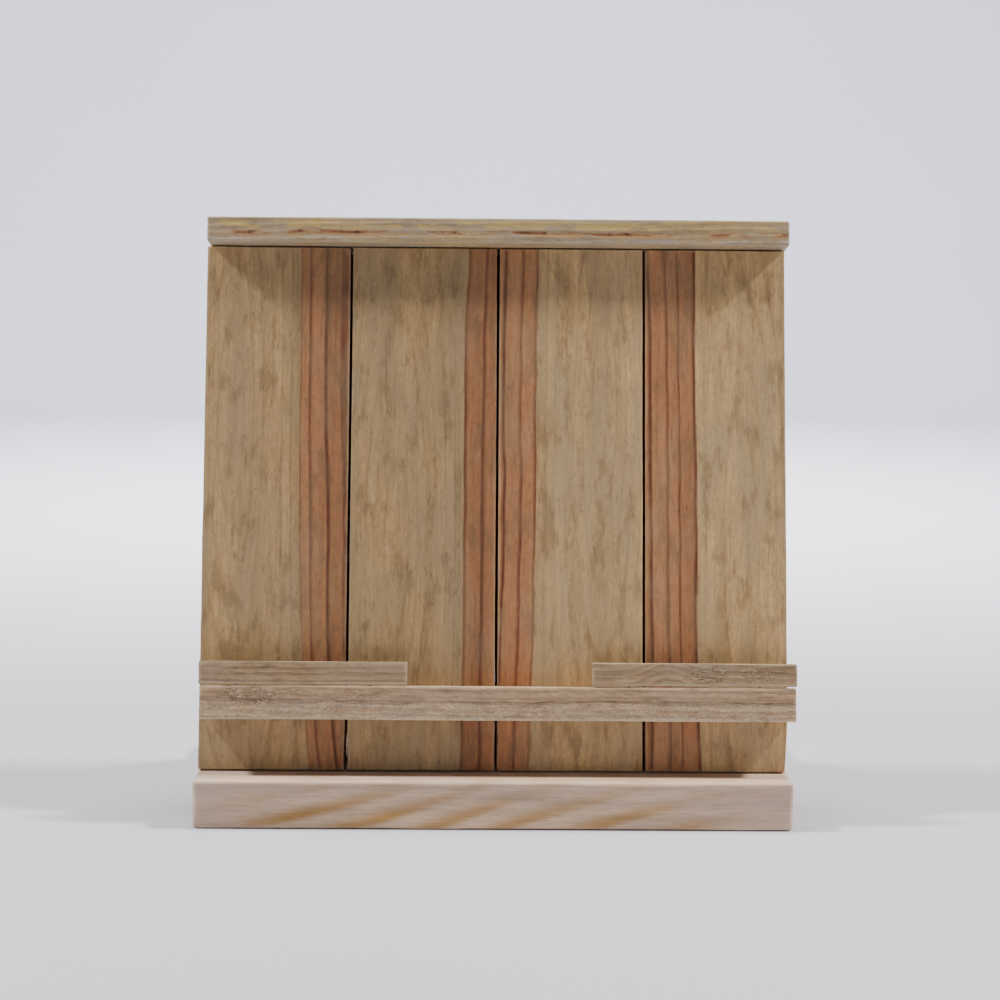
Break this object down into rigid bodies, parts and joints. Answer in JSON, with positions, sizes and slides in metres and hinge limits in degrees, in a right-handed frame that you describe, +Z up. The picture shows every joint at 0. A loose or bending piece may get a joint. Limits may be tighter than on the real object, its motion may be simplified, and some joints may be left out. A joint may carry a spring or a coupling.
{
  "type": "tablet stand",
  "caption": "Free-standing tablet stand of reclaimed boards: upright planks leaning back on a thick base, with a ledge, two lips and a cap board.",
  "frame": {"origin": "centre of the base board's underside", "axes": "+Z up, +X to the user's right, +Y away from the user, towards the side that the panel leans to"},
  "size_m": [0.2909, 0.145, 0.2921],
  "materials": {
    "base_pine": "planed pale pine with eased edges",
    "plank_1": "weathered brown",
    "plank_2": "weathered olive brown, fuzzy",
    "plank_3": "weathered reddish brown",
    "plank_4": "weathered tan",
    "cap_pine": "planed straw-coloured pine",
    "ledge_sawn": "rough sawn, grey beige",
    "lip_wood": "weathered brown with fine cracks",
    "batten_pine": "sawn pine",
    "gusset_pine": "sawn pine",
    "screw_zinc": "yellow zinc plated",
    "brad_steel": "bright steel"
  },
  "bodies": {
    "root": {"base_board": "base_pine", "back_plank_1": "plank_1", "back_plank_2": "plank_2", "back_plank_3": "plank_3", "back_plank_4": "plank_4", "cap_board": "cap_pine", "ledge_board": "ledge_sawn", "lip_left": "lip_wood", "lip_right": "lip_wood", "upper_rear_batten": "batten_pine", "lower_rear_batten": "batten_pine", "gusset_left": "gusset_pine", "gusset_right": "gusset_pine", "batten_screw_1": "screw_zinc", "batten_screw_2": "screw_zinc", "batten_screw_3": "screw_zinc", "batten_screw_4": "screw_zinc", "batten_screw_5": "screw_zinc", "batten_screw_6": "screw_zinc", "batten_screw_7": "screw_zinc", "batten_screw_8": "screw_zinc", "cap_screw_1": "screw_zinc", "cap_screw_2": "screw_zinc", "cap_screw_3": "screw_zinc", "cap_screw_4": "screw_zinc", "base_screw_1": "screw_zinc", "base_screw_2": "screw_zinc", "base_screw_3": "screw_zinc", "base_screw_4": "screw_zinc", "ledge_screw_1": "screw_zinc", "ledge_screw_2": "screw_zinc", "ledge_screw_3": "screw_zinc", "ledge_screw_4": "screw_zinc", "gusset_screw_1": "screw_zinc", "gusset_screw_2": "screw_zinc", "gusset_screw_3": "screw_zinc", "gusset_screw_4": "screw_zinc", "gusset_tip_screw_left": "screw_zinc", "gusset_tip_screw_right": "screw_zinc", "lip_brad_1": "brad_steel", "lip_brad_2": "brad_steel", "lip_brad_3": "brad_steel", "lip_brad_4": "brad_steel"}
  },
  "joints": []
}
